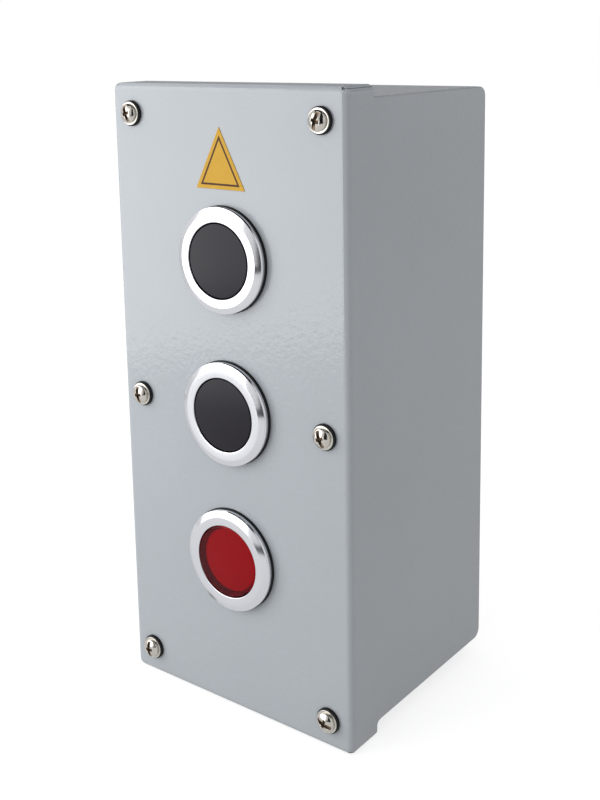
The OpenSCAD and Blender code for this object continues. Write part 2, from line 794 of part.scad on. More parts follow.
// Housing of the two contact pairs: walls, terminal ledges, guides and shelves inside
module contact_housing() {
    inner_w = block_w - 2 * block_wall;
    inner_h = block_h - 2 * block_wall;
    color(grey_plastic) difference() {
        union() {
            difference() {
                translate([0, 0, block_front]) linear_extrude(block_back - block_front)
                    rounded_rect(block_w, block_h, block_round);
                slab(inner_w, inner_h, block_front - over, block_floor);
            }
            for (side = [0, 1]) mirror([side, 0, 0]) terminal_ledge();
            for (side = [0, 1]) mirror([0, side, 0]) plate_guide();
            for (side = [0, 1]) mirror([side, 0, 0]) strip_shelves();
        }
        for (x = [-1, 1]) for (y = [-1, 1]) {
            translate([x * terminal_x, y * pole_offset, strip_front - terminal_screw_l - over])
                cylinder(h = terminal_screw_l + 2 * over, d = terminal_screw_d + 4 * fit_gap, $fn = small_fn);
            translate([x > 0 ? block_w / 2 - 2 * block_wall : -block_w / 2,
                y * pole_offset - strip_w / 2 - fit_gap, strip_front - fit_gap])
                cube([2 * block_wall, strip_w + 2 * fit_gap, strip_t + 2 * fit_gap]);
        }
        slab(plate_t + 2 * slide_gap, tail_h + 2 * slide_gap, block_floor - over, block_back + over);
        for (side = [0, 1]) mirror([0, side, 0]) hook_pocket();
    }
}

module hook_pocket() {
    nose = block_front + hook_l;
    depth = hook_reach + fit_gap;
    translate([-hook_w / 2 - slide_gap, block_h / 2 - depth, nose - hook_nose - fit_gap])
        cube([hook_w + 2 * slide_gap, depth + over, hook_nose + slide_gap]);
}

// Ledge outside the wall that carries two terminal strips, with a barrier between them and one at each end
module terminal_ledge() {
    wall = block_w / 2;
    translate([wall - over, -block_h / 2, strip_front - ledge_t]) cube([ledge_w + over, block_h, ledge_t]);
    for (y = [-block_h / 2, -barrier_t / 2, block_h / 2 - barrier_t])
        translate([wall - over, y, strip_front - over]) cube([ledge_w + over, barrier_t, barrier_h + over]);
}

// Two ribs that guide one edge of the carriage's plate
module plate_guide() {
    inner = block_h / 2 - block_wall;
    rib = inner - plate_h / 2 + guide_depth;
    for (x = [plate_t / 2 + slide_gap, -plate_t / 2 - slide_gap - guide_rib])
        translate([x, inner - rib, block_front + shelf_t])
            cube([guide_rib, rib + over, block_floor - block_front - shelf_t + over]);
}

// Shelves inside the wall, behind one strip and before the other
module strip_shelves() {
    wall = block_w / 2 - block_wall;
    start = bridge_end_x + 2 * slide_gap;
    for (p = [[-pole_offset, strip_back], [pole_offset, strip_front - shelf_t]])
        translate([start, p[0] - strip_w / 2, p[1]]) cube([wall - start + over, strip_w, shelf_t]);
}

// Slider with two windows, in which the contact bridges sit on their springs
module contact_carriage() {
    window_h = strip_w;
    color(white_plastic) difference() {
        union() {
            slab(head_w, head_w, carriage_front, carriage_front + carriage_head_t);
            slab(plate_t, plate_h, carriage_front, plate_back);
            slab(plate_t, tail_h, plate_back, block_back);
        }
        translate([0, -pole_offset, 0])
            slab(plate_t + 2 * over, window_h, no_window, no_bridge + bridge_t);
        translate([0, pole_offset, 0]) slab(plate_t + 2 * over, window_h, nc_bridge, nc_window_back);
    }
}

module contact_springs() {
    color(zinc) {
        translate([0, -pole_offset, 0])
            coil(contact_spring_d, contact_wire, contact_turns, no_window + fit_gap, no_bridge - fit_gap);
        translate([0, pole_offset, 0])
            coil(contact_spring_d, contact_wire, contact_turns, nc_bridge + bridge_t + fit_gap,
                nc_window_back - fit_gap);
    }
}

// Bridges: the one at -y makes contact when pressed, the one at +y is closed at rest
module contact_bridges() {
    color(brass) for (x = [-1, 1]) {
        translate([x * rivet_x, -pole_offset, no_bridge + bridge_t - fit_gap])
            cylinder(h = rivet_h + fit_gap, d = rivet_d, $fn = small_fn);
        translate([x * rivet_x, pole_offset, nc_bridge - rivet_h])
            cylinder(h = rivet_h + fit_gap, d = rivet_d, $fn = small_fn);
    }
    color(brass) {
        translate([0, -pole_offset, 0]) slab(2 * bridge_end_x, bridge_w, no_bridge, no_bridge + bridge_t);
        translate([0, pole_offset, 0]) slab(2 * bridge_end_x, bridge_w, nc_bridge, nc_bridge + bridge_t);
    }
}

// Fixed contact strips, each with its silver rivet inside and its screw hole outside
module terminals() {
    color(brass) for (x = [0, 1]) mirror([x, 0, 0]) for (y = [-1, 1]) translate([0, y * pole_offset, 0]) {
        rivet_start = y < 0 ? strip_front - rivet_h : strip_back - fit_gap;
        difference() {
            translate([strip_inner_x, -strip_w / 2, strip_front])
                cube([ledge_end - fit_gap - strip_inner_x, strip_w, strip_t]);
            translate([terminal_x, 0, strip_front - over])
                cylinder(h = strip_t + 2 * over, d = terminal_screw_d + 4 * fit_gap, $fn = small_fn);
        }
        translate([rivet_x, 0, rivet_start]) cylinder(h = rivet_h + fit_gap, d = rivet_d, $fn = small_fn);
    }
}

// Screws with square clamp plates, reached from behind
module terminal_screws() {
    color(steel) for (x = [-1, 1]) for (y = [-1, 1]) translate([x * terminal_x, y * pole_offset, 0]) {
        difference() {
            slab(clamp_w, clamp_w, strip_back, strip_back + clamp_t);
            translate([0, 0, strip_back - over])
                cylinder(h = clamp_t + 2 * over, d = terminal_screw_d + 4 * fit_gap, $fn = small_fn);
        }
        translate([0, 0, strip_back + clamp_t]) rotate([180, 0, 0])
            pan_screw(terminal_screw_d, terminal_screw_l + strip_t, terminal_head_d, terminal_head_h,
                terminal_head_side, 45 * x);
    }
}

button_heights = [middle_rise + button_pitch, middle_rise, middle_rise - button_pitch];

// One node of a button, drawn about its own axis
module button_piece(name) {
    if (name == "bezel") bezel();
    if (name == "bezel_gasket") bezel_gasket();
    if (name == "lock_ring") lock_ring();
    if (name == "plunger") plunger();
    if (name == "retaining_clip") retaining_clip();
    if (name == "return_spring") return_spring();
    if (name == "mounting_collar") mounting_collar();
    if (name == "contact_housing") contact_housing();
    if (name == "contact_carriage") contact_carriage();
    if (name == "contact_springs") contact_springs();
    if (name == "contact_bridges") contact_bridges();
    if (name == "terminals") terminals();
    if (name == "terminal_screws") terminal_screws();
}

echo(return_spring_gap = turn_gap(spring_wire, spring_turns, spring_front, spring_back));
echo(contact_spring_gap = turn_gap(contact_wire, contact_turns, fit_gap, contact_spring_l - fit_gap));

front_cover();
base_box();
cover_gasket();
cover_screws();
steel_washers();
rubber_washers();
rivet_nuts();
yellow_marker();
cable_grommet();
earth_stud();
earth_washer();
earth_nut();
for (b = [0 : 2]) for (n = BUTTON_NODES)
    at_front(0, button_heights[b]) button_piece(n);
at_front(0, button_heights[0]) cap();  // upper_cap
at_front(0, button_heights[1]) cap();  // middle_cap
at_front(0, button_heights[2]) lens();  // lower_lens
at_front(0, button_heights[2]) diffuser();  // lower_diffuser
at_front(0, button_heights[2]) lamp_board();  // lower_lamp_board
at_front(0, button_heights[2]) lamp();  // lower_lamp
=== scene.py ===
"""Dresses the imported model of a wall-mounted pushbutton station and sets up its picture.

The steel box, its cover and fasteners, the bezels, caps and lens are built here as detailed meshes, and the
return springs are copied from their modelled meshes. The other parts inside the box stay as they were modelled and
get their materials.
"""

import json
import math

import bmesh
import bpy
from mathutils import Matrix, Vector

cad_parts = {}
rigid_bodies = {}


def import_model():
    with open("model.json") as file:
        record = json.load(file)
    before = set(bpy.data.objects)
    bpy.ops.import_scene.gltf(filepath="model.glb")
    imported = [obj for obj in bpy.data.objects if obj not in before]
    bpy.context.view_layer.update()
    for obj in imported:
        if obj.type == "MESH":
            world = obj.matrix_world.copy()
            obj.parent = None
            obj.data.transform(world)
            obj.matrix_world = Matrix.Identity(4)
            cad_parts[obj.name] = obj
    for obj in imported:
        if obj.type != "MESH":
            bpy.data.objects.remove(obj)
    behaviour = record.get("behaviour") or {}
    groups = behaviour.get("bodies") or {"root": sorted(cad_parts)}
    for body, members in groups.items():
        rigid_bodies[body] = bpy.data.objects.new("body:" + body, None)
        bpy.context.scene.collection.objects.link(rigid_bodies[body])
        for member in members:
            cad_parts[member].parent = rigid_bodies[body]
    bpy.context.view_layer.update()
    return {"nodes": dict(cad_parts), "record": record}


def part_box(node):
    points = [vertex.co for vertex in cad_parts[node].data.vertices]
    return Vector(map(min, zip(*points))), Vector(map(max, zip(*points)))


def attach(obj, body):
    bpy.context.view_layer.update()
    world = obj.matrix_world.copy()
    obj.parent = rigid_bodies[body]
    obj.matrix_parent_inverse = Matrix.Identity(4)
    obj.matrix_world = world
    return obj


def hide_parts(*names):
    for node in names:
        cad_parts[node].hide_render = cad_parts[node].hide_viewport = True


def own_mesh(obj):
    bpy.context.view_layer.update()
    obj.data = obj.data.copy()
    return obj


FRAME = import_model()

bl_info = {
    "name": "Pushbutton Station",
    "version": (1, 0, 0),
    "blender": (4, 5, 0),
    "location": "3D View > Sidebar > Station",
    "description": "Builds the detailed pieces, materials and stage of a pushbutton station",
    "category": "Object",
}

MM = 0.001
BUTTONS = ("upper", "middle", "lower")

# Lengths in millimetres that the boxes round the CAD nodes don't give.
RUBBER_RADIUS = 3.55  # outer radius of the rubber washers
MIDDLE_SCREW_DROP = 0.5  # the middle screws sit this far below the middle of the cover
MERGE_GAP = 0.01  # vertices closer than this become one before edges are softened

WIDEST = 3  # the softest edges are this many times as wide as the others
ON_AXIS = 1e-6  # a turned point closer to the axis than this, in millimetres, lies on it


def node_box(name):
    """Lowest and highest corner of a CAD node, in millimetres."""
    low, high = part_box(name)
    return low / MM, high / MM


COVER_LOW, COVER_HIGH = node_box("front_cover")
BASE_LOW, BASE_HIGH = node_box("base_box")
FRONT_Y = COVER_LOW.y


def node_centre(name):
    """The middle of a CAD node as the front shows it, as x and z in millimetres."""
    low, high = node_box(name)
    return (low.x + high.x) / 2, (low.z + high.z) / 2


BUTTON_PLACES = {b: node_centre(b + "_bezel") for b in BUTTONS}


def screw_places():
    """The six places of the cover screws, from the box round all of their rubber washers."""
    low, high = node_box("rubber_washers")
    middle = (low.z + high.z) / 2 - MIDDLE_SCREW_DROP
    xs = (low.x + RUBBER_RADIUS, high.x - RUBBER_RADIUS)
    zs = (low.z + RUBBER_RADIUS, middle, high.z - RUBBER_RADIUS)
    return [(x, z) for z in zs for x in xs]


# ---------------------------------------------------------------- settings


class CoverSettings(bpy.types.PropertyGroup):
    """Sizes and colour of the painted sheet metal"""

    sheet: bpy.props.FloatProperty(name="Sheet", description="Thickness of the cover's sheet in mm", default=1.2)
    bend: bpy.props.FloatProperty(name="Bend", description="Outer radius of the cover's bends in mm", default=1.8)
    base_bend: bpy.props.FloatProperty(
        name="Base bend", description="Outer radius of the base's bends in mm", default=2.0
    )
    corner: bpy.props.FloatProperty(name="Corner", description="Radius of the cover's outline in mm", default=2.0)
    edge: bpy.props.FloatProperty(name="Edge", description="Softness of the painted cut edges in mm", default=0.16)
    colour: bpy.props.StringProperty(name="Paint", description="Paint colour as a hex value", default="#BCC2C8")
    peel: bpy.props.FloatProperty(name="Orange peel", description="Size of the paint's ripples in mm", default=1.3)


class ButtonSettings(bpy.types.PropertyGroup):
    """Colours and finish of the three buttons"""

    aluminium: bpy.props.StringProperty(
        name="Bezels", description="Colour of the bezels as a hex value", default="#DDDEE3"
    )
    black: bpy.props.StringProperty(
        name="Black caps", description="Colour of the black caps as a hex value", default="#18141F"
    )
    red: bpy.props.StringProperty(
        name="Red lens", description="Colour of the red lens as a hex value", default="#C80C32"
    )
    edge: bpy.props.FloatProperty(name="Edge", description="Radius of the caps' edges in mm", default=0.3)


class FastenerSettings(bpy.types.PropertyGroup):
    """Colours of the cover's screws and washers"""

    nickel: bpy.props.StringProperty(
        name="Nickel", description="Colour of the nickel plate as a hex value", default="#CFCBC3"
    )
    # The colour inside the recess is painted shade: it is darkened to stand for the shade in the recess.
    recess: bpy.props.StringProperty(
        name="Recess", description="Colour inside the recess as a hex value", default="#7C6A5A"
    )
    rubber: bpy.props.StringProperty(
        name="Rubber", description="Colour of the rubber as a hex value", default="#101012"
    )


class MarkerSettings(bpy.types.PropertyGroup):
    """Place, sizes and colours of the triangular marker"""

    yellow: bpy.props.StringProperty(
        name="Yellow", description="Colour of the marker as a hex value", default="#DEAD38"
    )
    line: bpy.props.StringProperty(
        name="Outline", description="Colour of the outline as a hex value", default="#523018"
    )
    inset: bpy.props.FloatProperty(
        name="Inset", description="Distance of the outline from the edge in mm", default=1.0
    )
    line_width: bpy.props.FloatProperty(name="Line", description="Width of the outline in mm", default=0.55)
    left: bpy.props.FloatProperty(
        name="Left", description="How far left of its solid the marker sits in mm", default=0.7
    )
    up: bpy.props.FloatProperty(
        name="Up", description="How far above its solid the marker sits in mm", default=0.9
    )


class StageSettings(bpy.types.PropertyGroup):
    """Camera and light"""

    yaw: bpy.props.FloatProperty(
        name="Yaw", description="Turn of the camera", default=math.radians(37.974), subtype="ANGLE"
    )
    pitch: bpy.props.FloatProperty(
        name="Pitch", description="Downward tilt of the camera", default=math.radians(10.497), subtype="ANGLE"
    )
    roll: bpy.props.FloatProperty(
        name="Roll", description="Roll of the camera", default=math.radians(-1.08), subtype="ANGLE"
    )
    place: bpy.props.FloatVectorProperty(
        name="Place",
        description="Place of the camera",
        default=(0.19854, -0.29603, 0.10117),
        subtype="TRANSLATION",
        unit="LENGTH",
    )
    focal: bpy.props.FloatProperty(
        name="Focal length", description="Focal length on a 36 mm picture side, in mm", default=51.84
    )
    key: bpy.props.FloatProperty(name="Key", description="Strength of the main light in watts", default=0.95)
    fill: bpy.props.FloatProperty(
        name="Fill", description="Strength of the even light from all round", default=0.62
    )


# ---------------------------------------------------------------- materials


def linear(hex_colour):
    """An sRGB hex value as a linear colour."""
    values = [int(hex_colour[i : i + 2], 16) / 255 for i in (1, 3, 5)]
    return [v / 12.92 if v <= 0.04045 else ((v + 0.055) / 1.055) ** 2.4 for v in values] + [1]


def add_node(tree, kind, inputs=None, **settings):
    """Adds a node with its settings; an input is a value, or an output socket to link."""
    made = tree.nodes.new(kind)
    for name, value in settings.items():
        setattr(made, name, value)
    for name, value in (inputs or {}).items():
        if isinstance(value, bpy.types.NodeSocket):
            tree.links.new(value, made.inputs[name])
        else:
            made.inputs[name].default_value = value
    return made


def start_material(name, **shader_values):
    """A new material with a Principled shader; returns the material, its tree and the shader."""
    material = bpy.data.materials.new(name)
    material.use_nodes = True
    tree = material.node_tree
    tree.nodes.clear()
    sockets = {key.replace("_", " "): value for key, value in shader_values.items()}
    shader = add_node(tree, "ShaderNodeBsdfPrincipled", sockets)
    add_node(tree, "ShaderNodeOutputMaterial", {"Surface": shader.outputs["BSDF"]})
    return material, tree, shader


def grain(tree, size_mm, detail=2.0):
    """Noise on the piece whose blobs are size_mm across."""
    place = add_node(tree, "ShaderNodeTexCoord").outputs["Object"]
    noise = {"Vector": place, "Scale": 1 / (size_mm * MM), "Detail": detail}
    return add_node(tree, "ShaderNodeTexNoise", noise).outputs["Fac"]


def vary(tree, shader, colour=None, gloss=None, relief=None):
    """Lets a surface follow patterns, most of whose values lie between 0.3 and 0.7.

    colour is a pattern, a hex value, and what that is multiplied by at the low and the high end.
    gloss is a pattern, and the roughness at the low and the high end.
    relief is a pattern, and how far in millimetres it raises the surface.
    """
    usual = {"From Min": 0.3, "From Max": 0.7}
    if colour:
        pattern, hex_colour, low, high = colour
        base = linear(hex_colour)
        ends = [[v * factor for v in base[:3]] + [1] for factor in (low, high)]
        share = add_node(tree, "ShaderNodeMapRange", {"Value": pattern, **usual})
        # Of this node's sockets 0 is the factor, 6 and 7 are the two colours, and 2 gives the mixed one.
        mixed = {0: share.outputs["Result"], 6: ends[0], 7: ends[1]}
        mixed = add_node(tree, "ShaderNodeMix", mixed, data_type="RGBA")
        tree.links.new(mixed.outputs[2], shader.inputs["Base Color"])
    if gloss:
        pattern, low, high = gloss
        roughness = {"Value": pattern, **usual, "To Min": low, "To Max": high}
        roughness = add_node(tree, "ShaderNodeMapRange", roughness)
        tree.links.new(roughness.outputs["Result"], shader.inputs["Roughness"])
    if relief:
        pattern, depth_mm = relief
        raised = add_node(tree, "ShaderNodeBump", {"Height": pattern, "Distance": depth_mm * MM})
        tree.links.new(raised.outputs["Normal"], shader.inputs["Normal"])


def powder_paint(name, settings):
    """Powder coated steel: baked polyester powder flows into soft ripples that break up reflections."""
    material, tree, shader = start_material(name, IOR=1.5)
    clouds = (grain(tree, 38, 3), settings.colour, 0.965, 1)
    vary(tree, shader, clouds, (grain(tree, 6), 0.09, 0.13), (grain(tree, settings.peel), 0.07))
    return material


def turned_aluminium(name, settings):
    """Turned and satin anodised aluminium: faint rings round the axis draw the highlights out across them.

    The rings of such a tool are about 0.05 mm apart. They are drawn at 0.12 mm, so that they show.
    """
    material, tree, shader = start_material(name, Metallic=1.0, Anisotropic=0.6, Anisotropic_Rotation=0.25)
    place = add_node(tree, "ShaderNodeTexCoord").outputs["Object"]
    place = add_node(tree, "ShaderNodeSeparateXYZ", {"Vector": place})
    flat = add_node(tree, "ShaderNodeCombineXYZ", {"X": place.outputs["X"], "Y": place.outputs["Z"]})
    radius = add_node(tree, "ShaderNodeVectorMath", {0: flat.outputs["Vector"]}, operation="LENGTH")
    rings = {"W": radius.outputs["Value"], "Scale": 1 / (0.12 * MM), "Detail": 2.0}
    rings = add_node(tree, "ShaderNodeTexNoise", rings, noise_dimensions="1D").outputs["Fac"]
    vary(tree, shader, (rings, settings.aluminium, 0.96, 1), (rings, 0.12, 0.18), (rings, 0.002))
    round_axis = add_node(tree, "ShaderNodeTangent", direction_type="RADIAL", axis="Y")
    tree.links.new(round_axis.outputs["Tangent"], shader.inputs["Tangent"])
    return material


def eroded_black_plastic(name, settings):
    """Moulded ABS from a spark-eroded tool: a fine matt grain that greys the black under soft light.

    Such a grain is about 0.05 mm across. It is drawn at 0.22 mm, so that it shows.
    """
    material, tree, shader = start_material(name, IOR=1.5, Specular_IOR_Level=0.24)
    fine = grain(tree, 0.22)
    vary(tree, shader, (fine, settings.black, 0.9, 1), (fine, 0.24, 0.32), (fine, 0.004))
    return material


def red_acrylic(name, settings):
    """Clear red acrylic, polished: light goes through to the white disc behind and comes back deep red.

    Its index is lower than acrylic's 1.49, because the grey sheen of that hides the red in even light.
    """
    red = linear(settings.red)
    material, tree, shader = start_material(name, IOR=1.22, Transmission_Weight=0.92, Base_Color=red)
    vary(tree, shader, gloss=(grain(tree, 4), 0.03, 0.07), relief=(grain(tree, 9, 1), 0.004))
    return material


def nickel_plate(name, settings):
    """Bright nickel over a rolled and pressed steel screw: warm and glossy, rippled by the steel below."""
    material, tree, shader = start_material(name, Metallic=1.0)
    tarnish = (grain(tree, 0.8), settings.nickel, 0.9, 1)
    vary(tree, shader, tarnish, (grain(tree, 0.5), 0.07, 0.13), (grain(tree, 0.9), 0.004))
    return material


def painted_shade_recess(name, settings):
    """The same screws inside their recess: dull, and dark and brownish as painted shade of the recess."""
    material, tree, shader = start_material(name, Metallic=1.0)
    mottle = grain(tree, 0.4)
    vary(tree, shader, (mottle, settings.recess, 0.7, 1), (mottle, 0.4, 0.55))
    return material


def moulded_rubber(name, settings):
    """Moulded nitrile rubber: nearly black, matt, with a soft bloom."""
    material, tree, shader = start_material(name, IOR=1.52, Specular_IOR_Level=0.3)
    bloom = grain(tree, 1.5, 3)
    vary(tree, shader, (bloom, settings.rubber, 1, 1.5), (bloom, 0.55, 0.7), (grain(tree, 0.3), 0.01))
    return material


def printed_film(name, colour):
    """Printed polyester film: an even colour with a faint satin texture."""
    material, tree, shader = start_material(name, IOR=1.5, Specular_IOR_Level=0.2)
    satin = (grain(tree, 1), 0.38, 0.46)
    vary(tree, shader, (grain(tree, 3), colour, 0.95, 1), satin, (grain(tree, 0.35), 0.003))
    return material


def plain_metal(name, colour, low, high, size_mm):
    """Plated, stamped or drawn metal inside the box: one colour, with a gloss that varies over size_mm."""
    material, tree, shader = start_material(name, Metallic=1.0)
    mottle = grain(tree, size_mm, 3)
    vary(tree, shader, (mottle, colour, 0.86, 1), (mottle, low, high), (mottle, 0.004))
    return material


def moulded_plastic(name, colour, roughness, size_mm=0.3):
    """Moulded plastic inside the box: one colour with the fine grain of its tool, size_mm across."""
    material, tree, shader = start_material(name, IOR=1.5)
    fine = grain(tree, size_mm)
    satin = (fine, roughness - 0.05, roughness + 0.05)
    vary(tree, shader, (grain(tree, 5), colour, 0.93, 1), satin, (fine, 0.008))
    return material


def shared(name, build, *values):
    """The material called name, which build makes on first use."""
    return bpy.data.materials.get(name) or build(name, *values)


def paint():
    """The powder paint of cover and base."""
    return shared("powder_coated_steel", powder_paint, bpy.context.scene.station_cover)


def rubber():
    """The rubber of washers, gaskets and grommet."""
    return shared("moulded_nitrile_rubber", moulded_rubber, bpy.context.scene.station_fasteners)


def nickel():
    """The nickel plate of screws and washers."""
    return shared("nickel_plated_steel", nickel_plate, bpy.context.scene.station_fasteners)


def white_plastic():
    """The acetal of plungers, carriages and diffuser."""
    return shared("moulded_white_acetal", moulded_plastic, "#ECECE8", 0.4)


def spring_wire():
    """The drawn steel wire of all springs."""
    return shared("drawn_spring_wire", plain_metal, "#A5A4A2", 0.2, 0.34, 0.3)


# ---------------------------------------------------------------- mesh tools


def make_object(name, mesh, place=(0, 0, 0)):
    """Links a mesh as an object whose origin is at place, in millimetres."""
    made = bpy.data.objects.new(name, mesh)
    bpy.context.scene.collection.objects.link(made)
    made.location = Vector(place) * MM
    return made


def mesh_from(bm, name):
    """Turns a bmesh in millimetres into a mesh in metres."""
    bmesh.ops.scale(bm, vec=(MM, MM, MM), verts=bm.verts)
    bmesh.ops.recalc_face_normals(bm, faces=bm.faces)
    mesh = bpy.data.meshes.new(name)
    bm.to_mesh(mesh)
    bm.free()
    return mesh


def soften(made, angle=32):
    """Shades a piece smoothly, apart from its edges sharper than angle, in degrees."""
    for polygon in made.data.polygons:
        polygon.use_smooth = True
    made.data.set_sharp_from_angle(angle=math.radians(angle))


def bake_modifiers(made):
    """Replaces the object's mesh by the result of its modifiers."""
    graph = bpy.context.evaluated_depsgraph_get()
    mesh = bpy.data.meshes.new_from_object(made.evaluated_get(graph))
    made.modifiers.clear()
    made.data = mesh


def rounded_profile(corners, steps=4):
    """Points of a closed outline; a corner is (a, b) or (a, b, radius) for a rounded one."""
    points = []
    count = len(corners)
    for i, corner in enumerate(corners):
        here = Vector(corner[:2])
        radius = corner[2] if len(corner) > 2 else 0
        if radius <= 0:
            points.append(here)
            continue
        before = (Vector(corners[i - 1][:2]) - here).normalized()
        after = (Vector(corners[(i + 1) % count][:2]) - here).normalized()
        half = before.angle(after) / 2
        reach = radius / math.tan(half)
        middle = here + (before + after).normalized() * radius / math.sin(half)
        start = here + before * reach - middle
        end = here + after * reach - middle
        turn = start.angle_signed(end)
        for k in range(steps + 1):
            points.append(middle + Matrix.Rotation(-turn * k / steps, 2) @ start)
    return points


def turned_mesh(name, corners, segments=96, steps=4):
    """A closed profile of radius and depth, turned round the Y axis."""
    bm = bmesh.new()
    rings = []
    for radius, depth in rounded_profile(corners, steps):
        if radius < ON_AXIS:
            rings.append([bm.verts.new((0, depth, 0))])
            continue
        angles = [2 * math.pi * k / segments for k in range(segments)]
        rings.append([bm.verts.new((radius * math.cos(a), depth, radius * math.sin(a))) for a in angles])
    for i, ring in enumerate(rings):
        following = rings[(i + 1) % len(rings)]
        if len(ring) == 1 and len(following) == 1:
            continue
        for k in range(segments):
            j = (k + 1) % segments
            if len(ring) == 1:
                bm.faces.new((ring[0], following[k], following[j]))
            elif len(following) == 1:
                bm.faces.new((ring[k], following[0], ring[j]))
            else:
                bm.faces.new((ring[k], following[k], following[j], ring[j]))
    return mesh_from(bm, name)


def skin(bm, rings):
    """Adds the faces between each ring of vertices and the next, and returns them ring by ring."""
    bands = []
    for ring, following in zip(rings, rings[1:]):
        band = []
        for k in range(len(ring)):
            j = (k + 1) % len(ring)
            band.append(bm.faces.new((ring[k], ring[j], following[j], following[k])))
        bands.append(band)
    return bands


def prism_mesh(name, points, low_x, high_x):
    """An outline in y and z, pushed from low_x to high_x."""
    bm = bmesh.new()
    ends = [[bm.verts.new((x, y, z)) for y, z in points] for x in (low_x, high_x)]
    for end in ends:
        bm.faces.new(end)
    skin(bm, ends)
    return mesh_from(bm, name)


def block(bm, low, high):
    """Adds a box between two corners to a bmesh, and returns its vertices."""
    made = bmesh.ops.create_cube(bm, size=1)["verts"]
    size = [h - l for l, h in zip(low, high)]
    middle = [(h + l) / 2 for l, h in zip(low, high)]
    bmesh.ops.scale(bm, vec=size, verts=made)
    bmesh.ops.translate(bm, vec=middle, verts=made)
    return made


def rod(bm, centre, axis, radius, length, segments=48):
    """Adds a cylinder about centre, along the x, y or z axis, to a bmesh."""
    made = bmesh.ops.create_cone(
        bm, cap_ends=True, segments=segments, radius1=radius, radius2=radius, depth=length
    )["verts"]
    if axis != "z":
        turn = Matrix.Rotation(math.pi / 2, 3, {"x": "Y", "y": "X"}[axis])
        bmesh.ops.rotate(bm, cent=(0, 0, 0), matrix=turn, verts=made)
    bmesh.ops.translate(bm, vec=centre, verts=made)
    return made


def bent_block(name, low, high, radius, rear=False, corner=0.0):
    """A box whose front edges, and rear ones if asked, are bent to a radius; corner rounds its outline."""
    steps, sharpest = 6, 0.02
    arc = [math.pi / 2 * k / steps for k in range(steps + 1)]
    levels = [(radius * (1 - math.sin(a)), low[1] + radius * (1 - math.cos(a))) for a in arc]
    if rear:
        levels += [(radius * (1 - math.cos(a)), high[1] - radius * (1 - math.sin(a))) for a in arc]
    else:
        levels.append((0, high[1]))
    corners = ((2, low[0], low[2]), (3, high[0], low[2]), (0, high[0], high[2]), (1, low[0], high[2]))
    bm = bmesh.new()
    rings = []
    for inset, depth in levels:
        reach = max(corner - inset, sharpest)
        ring = []
        for turn, x, z in corners:
            side_x = 1 if turn in (0, 3) else -1
            side_z = 1 if turn in (0, 1) else -1
            middle_x = x - side_x * (inset + reach)
            middle_z = z - side_z * (inset + reach)
            for a in arc:
                angle = turn * math.pi / 2 + a
                place = (middle_x + reach * math.cos(angle), depth, middle_z + reach * math.sin(angle))
                ring.append(bm.verts.new(place))
        rings.append(ring)
    skin(bm, rings)
    bm.faces.new(rings[0])
    bm.faces.new(rings[-1])
    return mesh_from(bm, name)


def cut(made, meshes, within=None):
    """Keeps what lies within a mesh, if one is given, and takes other meshes away, with exact booleans."""
    steps = [("INTERSECT", within)] if within else []
    steps += [("DIFFERENCE", mesh) for mesh in meshes]
    tools = []
    for operation, mesh in steps:
        tool = make_object(mesh.name, mesh)
        tools.append(tool)
        modifier = made.modifiers.new(mesh.name, "BOOLEAN")
        modifier.operation = operation
        modifier.solver = "EXACT"
        modifier.object = tool
    bake_modifiers(made)
    for tool in tools:
        bpy.data.objects.remove(tool)


def soften_edges(made, width, angle=40, wider=lambda edge: 1):
    """Rounds the edges sharper than angle by width, as paint or plating does; wider gives a factor for each."""
    bm = bmesh.new()
    bm.from_mesh(made.data)
    bmesh.ops.remove_doubles(bm, verts=bm.verts, dist=MERGE_GAP * MM)
    bmesh.ops.dissolve_limit(bm, angle_limit=math.radians(0.5), verts=bm.verts, edges=bm.edges)
    weight = bm.edges.layers.float.new("bevel_weight_edge")
    for edge in bm.edges:
        if edge.is_manifold and edge.calc_face_angle() > math.radians(angle):
            edge[weight] = wider(edge) / WIDEST
    bm.to_mesh(made.data)
    bm.free()
    modifier = made.modifiers.new("edges", "BEVEL")
    modifier.width = WIDEST * width * MM
    modifier.segments = 2
    modifier.limit_method = "WEIGHT"
    modifier.use_clamp_overlap = False
    modifier.harden_normals = True
    bake_modifiers(made)


def finish_piece(made, body, node, slot, *materials):
    """Gives a piece its materials and body, and hides the CAD node that it stands for."""
    for material in materials:
        made.data.materials.append(material)
    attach(made, body)
    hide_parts(node)


def add_piece(name, mesh, place, body, node, slot, *materials, angle=32):
    """Makes a smoothly shaded piece of a mesh at place, and finishes it."""
    made = make_object(name, mesh, place)
    soften(made, angle)
    finish_piece(made, body, node, slot, *materials)
    return made


def joined_mesh(name, mesh, matrices):
    """One mesh that holds a copy of another for each matrix."""
    bm = bmesh.new()
    for matrix in matrices:
        copy = mesh.copy()
        copy.transform(matrix)
        bm.from_mesh(copy)
        bpy.data.meshes.remove(copy)
    made = bpy.data.meshes.new(name)
    bm.to_mesh(made)
    bm.free()
    return made


# ---------------------------------------------------------------- pieces


